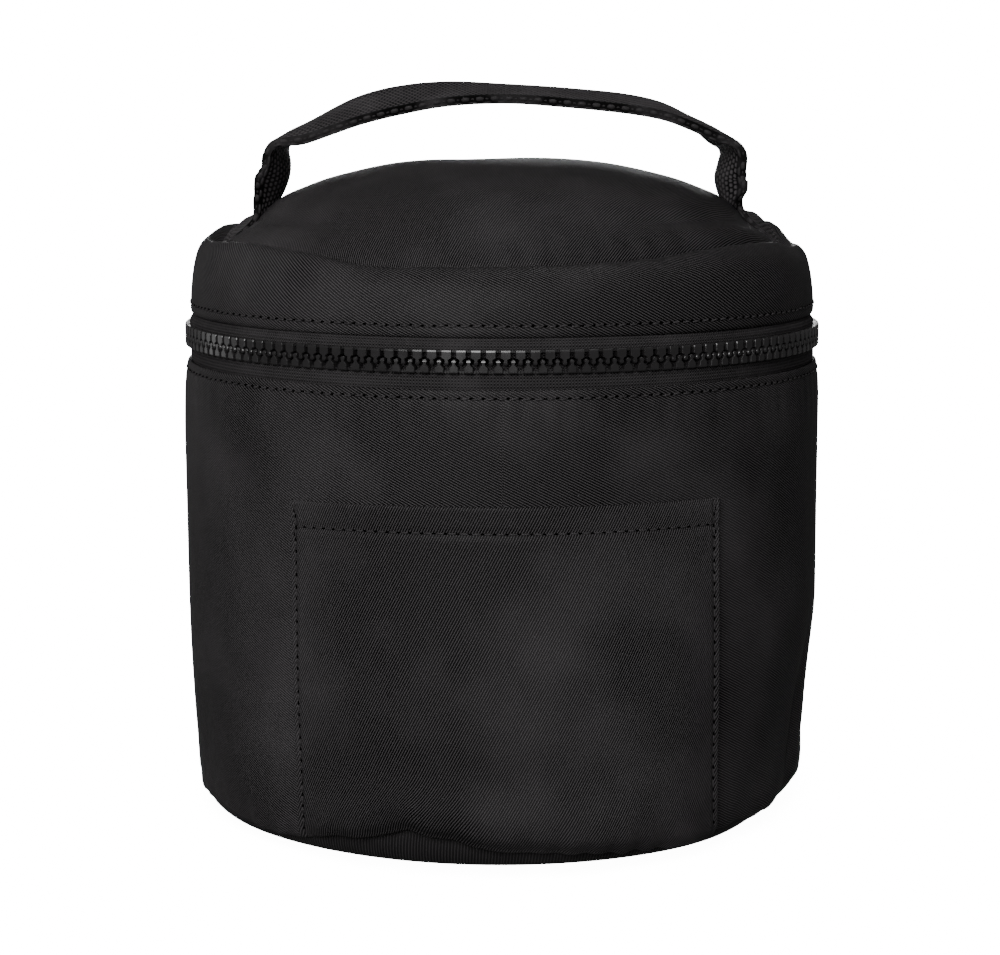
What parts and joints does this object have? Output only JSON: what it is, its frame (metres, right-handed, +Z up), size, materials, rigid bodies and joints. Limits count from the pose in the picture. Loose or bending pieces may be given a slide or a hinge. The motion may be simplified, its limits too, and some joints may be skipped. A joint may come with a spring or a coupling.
{
  "type": "film changing bag",
  "caption": "Drum-shaped padded fabric film bag with a hinged domed lid, zip all round, webbing carry handle and front patch pocket",
  "frame": {"origin": "middle of the base, in the plane that it stands on", "axes": "+Z up through the lid, -Y out of the front with the pocket, +X to the right seen from the front; the handle runs along X"},
  "size_m": [0.1756, 0.1831, 0.1925],
  "materials": {
    "nylon_twill": "black nylon twill with a fine diagonal rib and a soft sheen",
    "zip_tape": "black woven zip tape, matt",
    "webbing": "charcoal woven webbing",
    "lining": "black plain-woven lining, matt",
    "foam": "dark grey closed-cell foam",
    "board": "black stiffener board",
    "zip_plastic": "black moulded plastic, semi-gloss"
  },
  "bodies": {
    "body": {"side_panel": "nylon_twill", "side_padding": "foam", "side_lining": "lining", "base_panel": "nylon_twill", "base_board": "board", "base_padding": "foam", "base_lining": "lining", "base_seam_binding": "lining", "front_pocket": "nylon_twill", "lower_zip_tape": "zip_tape", "lower_zip_teeth": "zip_plastic", "zip_top_stop_lower": "zip_plastic", "zip_bottom_stop": "zip_plastic", "light_flap": "lining", "hinge_panel": "nylon_twill"},
    "lid": {"lid_band": "nylon_twill", "lid_top_panel": "nylon_twill", "lid_padding": "foam", "lid_band_padding": "foam", "lid_top_lining": "lining", "lid_band_lining": "lining", "lid_seam_binding": "lining", "upper_zip_tape": "zip_tape", "upper_zip_teeth": "zip_plastic", "zip_top_stop_upper": "zip_plastic", "handle_end_left": "webbing", "handle_end_right": "webbing"},
    "handle": {"handle_strap": "webbing"},
    "slider": {"slider_body": "zip_plastic", "slider_back_plate": "zip_plastic"},
    "pull": {"pull_tab": "zip_plastic"}
  },
  "joints": [
    {"name": "lid_hinge", "type": "hinge", "parent": "body", "child": "lid", "pos_m": [0, 0.0869, 0.1279], "axis": [-1, 0, 0], "range_deg": [0, 165], "deforming": ["hinge_panel"]},
    {"name": "handle_swing", "type": "hinge", "parent": "lid", "child": "handle", "pos_m": [0, 0, 0.1633], "axis": [1, 0, 0], "range_deg": [-42, 42], "stiffness_Nm_per_rad": 0.02},
    {"name": "slider_travel", "type": "hinge", "parent": "body", "child": "slider", "pos_m": [0, 0, 0.12815], "axis": [0, 0, 1], "range_deg": [-290, 0]},
    {"name": "pull_flip", "type": "hinge", "parent": "slider", "child": "pull", "pos_m": [0.05228, 0.07196, 0.12815], "axis": [0, 0, 1], "range_deg": [-175, 0]}
  ]
}
